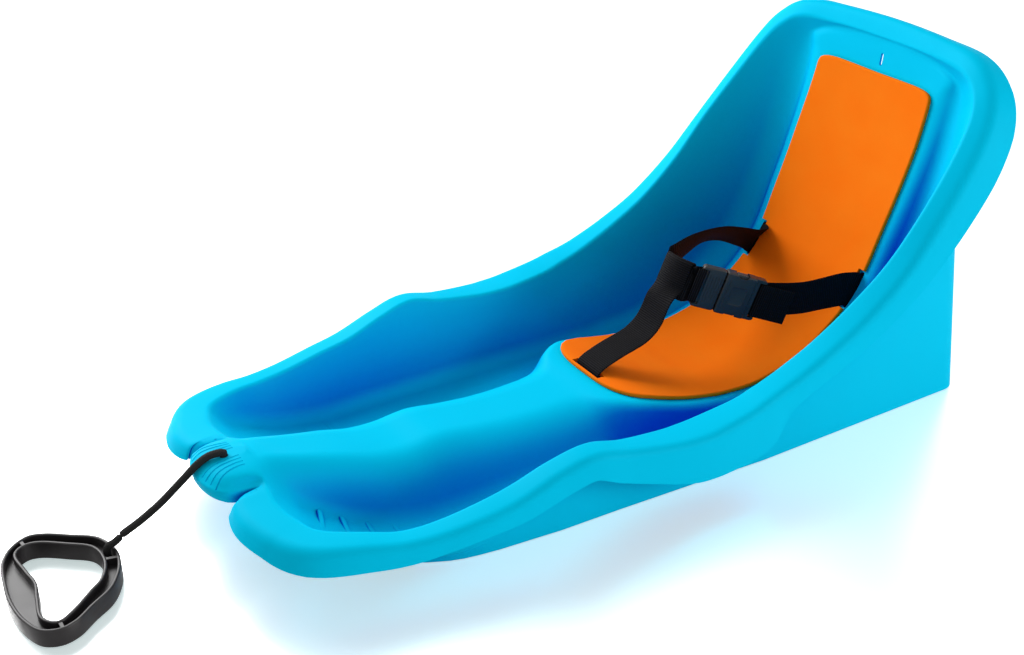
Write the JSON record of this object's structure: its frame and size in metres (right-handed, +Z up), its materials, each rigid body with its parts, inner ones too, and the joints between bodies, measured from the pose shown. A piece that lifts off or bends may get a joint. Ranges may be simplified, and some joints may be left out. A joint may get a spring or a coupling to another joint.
{
  "type": "baby pull sled",
  "caption": "Toddler's pull sled: moulded hull with backrest and foot wells, foam pad, belts with a buckle, rope with a handle.",
  "frame": {"origin": "on the ground, in the middle of the box that holds the sled and its pulled-out handle", "axes": "+Z up, -Y forwards towards the nose and the handle, +X towards the child's left side"},
  "size_m": [0.3946, 0.983, 0.3555],
  "materials": {
    "hull_plastic": "light blue moulded polyethylene with a soft gloss",
    "orange_foam": "orange closed-cell foam",
    "black_webbing": "black woven webbing",
    "black_rope": "black braided rope",
    "black_plastic": "black moulded plastic"
  },
  "bodies": {
    "sled": {"hull": "hull_plastic", "seat_pad": "orange_foam", "lap_belt_left": "black_webbing", "lap_belt_right": "black_webbing", "crotch_strap": "black_webbing", "strap_stop_left": "black_plastic", "strap_stop_right": "black_plastic", "strap_stop_crotch": "black_plastic", "buckle_plug": "black_plastic", "buckle_socket": "black_plastic", "rope_stopper_knot": "black_rope"},
    "prong_left": {"buckle_prong_left": "black_plastic"},
    "prong_right": {"buckle_prong_right": "black_plastic"},
    "rope": {"pull_rope": "black_rope"},
    "handle": {"pull_handle": "black_plastic", "rope_handle_knot": "black_rope"}
  },
  "joints": [
    {"name": "rope_lift", "type": "hinge", "parent": "sled", "child": "rope", "pos_m": [0, -0.29, 0.0918], "axis": [-1, 0, 0], "range_deg": [0, 85]},
    {"name": "handle_tilt", "type": "hinge", "parent": "rope", "child": "handle", "pos_m": [-0.0172, -0.3862, 0.0276], "axis": [-1, 0, 0], "range_deg": [0, 60]},
    {"name": "prong_left_press", "type": "hinge", "parent": "sled", "child": "prong_left", "pos_m": [0.03765, 0.24703, 0.1335], "axis": [-0.8813, 0.4726, 0], "range_deg": [0, 10], "stiffness_Nm_per_rad": 0.3},
    {"name": "prong_right_press", "type": "hinge", "parent": "sled", "child": "prong_right", "pos_m": [0.03339, 0.23908, 0.10489], "axis": [0.8813, -0.4726, 0], "range_deg": [0, 10], "stiffness_Nm_per_rad": 0.3}
  ],
  "couplings": [
    {"joint": "prong_right_press", "follows": "prong_left_press", "ratio": 1}
  ]
}
